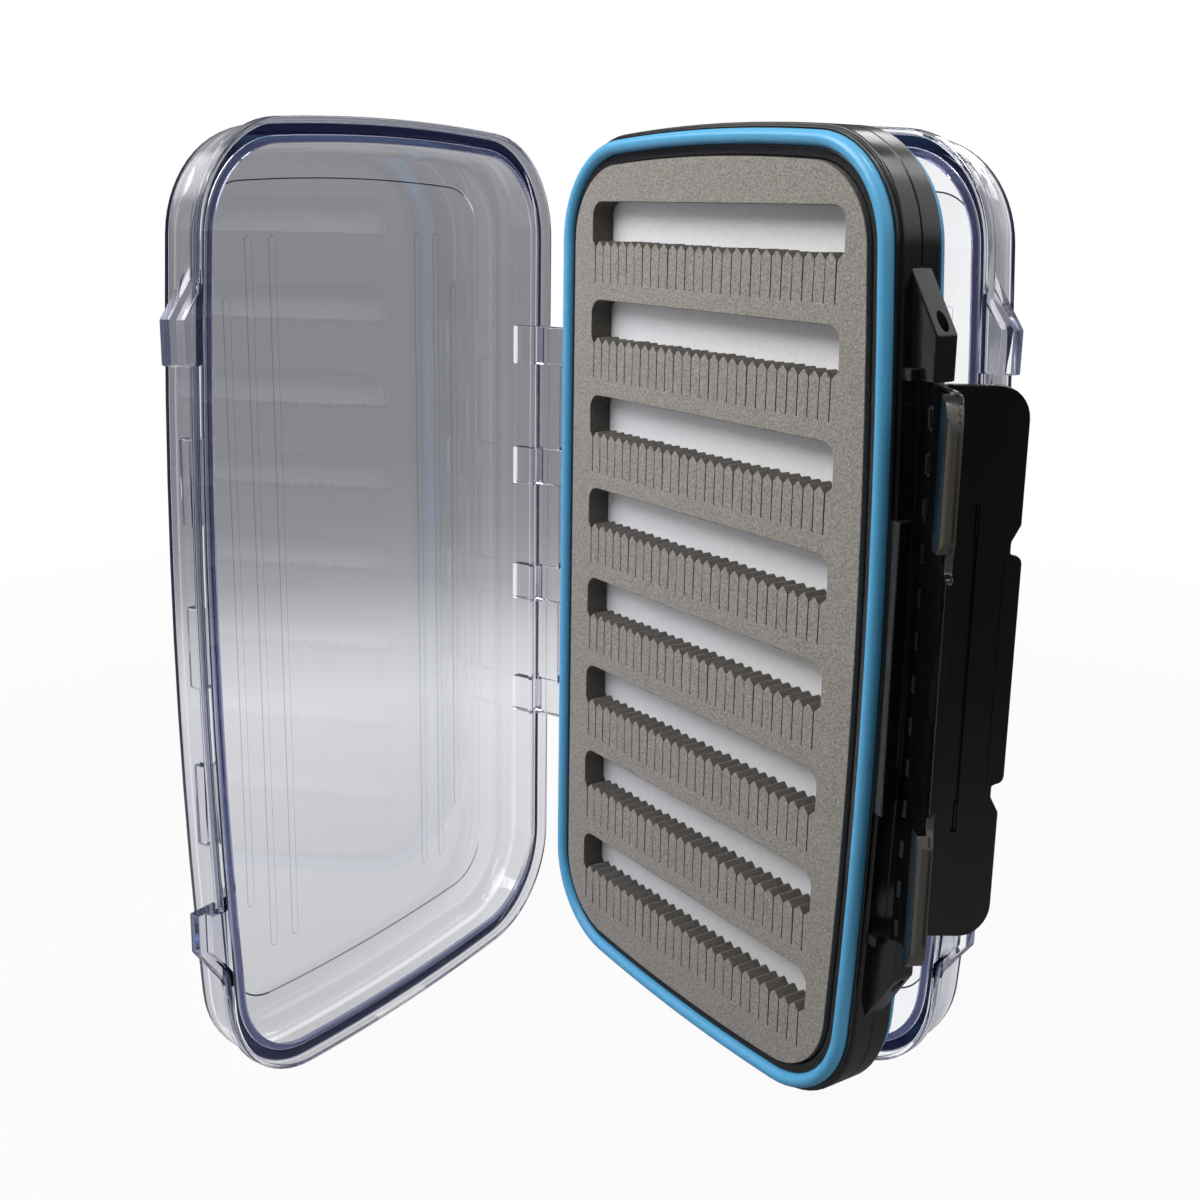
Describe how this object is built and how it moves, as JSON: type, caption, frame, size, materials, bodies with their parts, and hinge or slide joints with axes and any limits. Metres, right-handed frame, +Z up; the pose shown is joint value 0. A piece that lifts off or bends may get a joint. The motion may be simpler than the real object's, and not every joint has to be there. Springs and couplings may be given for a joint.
{
  "type": "fly box",
  "caption": "Double-sided waterproof fly box: gasketed centre frame with slit foam on both faces, clear hinged lids and swing latches.",
  "frame": {"origin": "middle of the flat foot that the centre frame stands on, in the mid-plane between the two lids", "axes": "+Z up along the length of the box, +X from the hinge to the latches, -Y out of the front lid's side"},
  "size_m": [0.1396, 0.1356, 0.1883],
  "materials": {
    "frame_black": "moulded black plastic, glossy lip, softer side wall",
    "latch_black": "moulded black plastic, satin",
    "lid_clear": "clear polycarbonate, faint blue-violet at the edges",
    "gasket_blue": "sky-blue silicone, smooth",
    "foam_grey": "closed-cell EVA foam, warm grey, fine grain",
    "backing_white": "white sheet",
    "pin_steel": "drawn steel wire"
  },
  "bodies": {
    "box": {"centre_frame": "frame_black", "front_gasket": "gasket_blue", "rear_gasket": "gasket_blue", "front_backing": "backing_white", "rear_backing": "backing_white", "front_foam": "foam_grey", "rear_foam": "foam_grey", "hinge_pin": "pin_steel", "latch_pin": "pin_steel"},
    "front_lid": {"front_lid": "lid_clear"},
    "rear_lid": {"rear_lid": "lid_clear"},
    "front_latch": {"front_latch": "latch_black"},
    "rear_latch": {"rear_latch": "latch_black"}
  },
  "joints": [
    {"name": "front_lid_hinge", "type": "hinge", "parent": "box", "child": "front_lid", "pos_m": [-0.05512, 0, 0.09409], "axis": [0, 0, -1], "range_deg": [-67.2, 27.8]},
    {"name": "rear_lid_hinge", "type": "hinge", "parent": "box", "child": "rear_lid", "pos_m": [-0.05512, 0, 0.09409], "axis": [0, 0, 1], "range_deg": [-5.3, 89.7]},
    {"name": "front_latch_hinge", "type": "hinge", "parent": "box", "child": "front_latch", "pos_m": [0.0551, 0, 0.09409], "axis": [0, 0, 1], "range_deg": [-60, 15]},
    {"name": "rear_latch_hinge", "type": "hinge", "parent": "box", "child": "rear_latch", "pos_m": [0.0551, 0, 0.09409], "axis": [0, 0, -1], "range_deg": [-34, 41]}
  ]
}
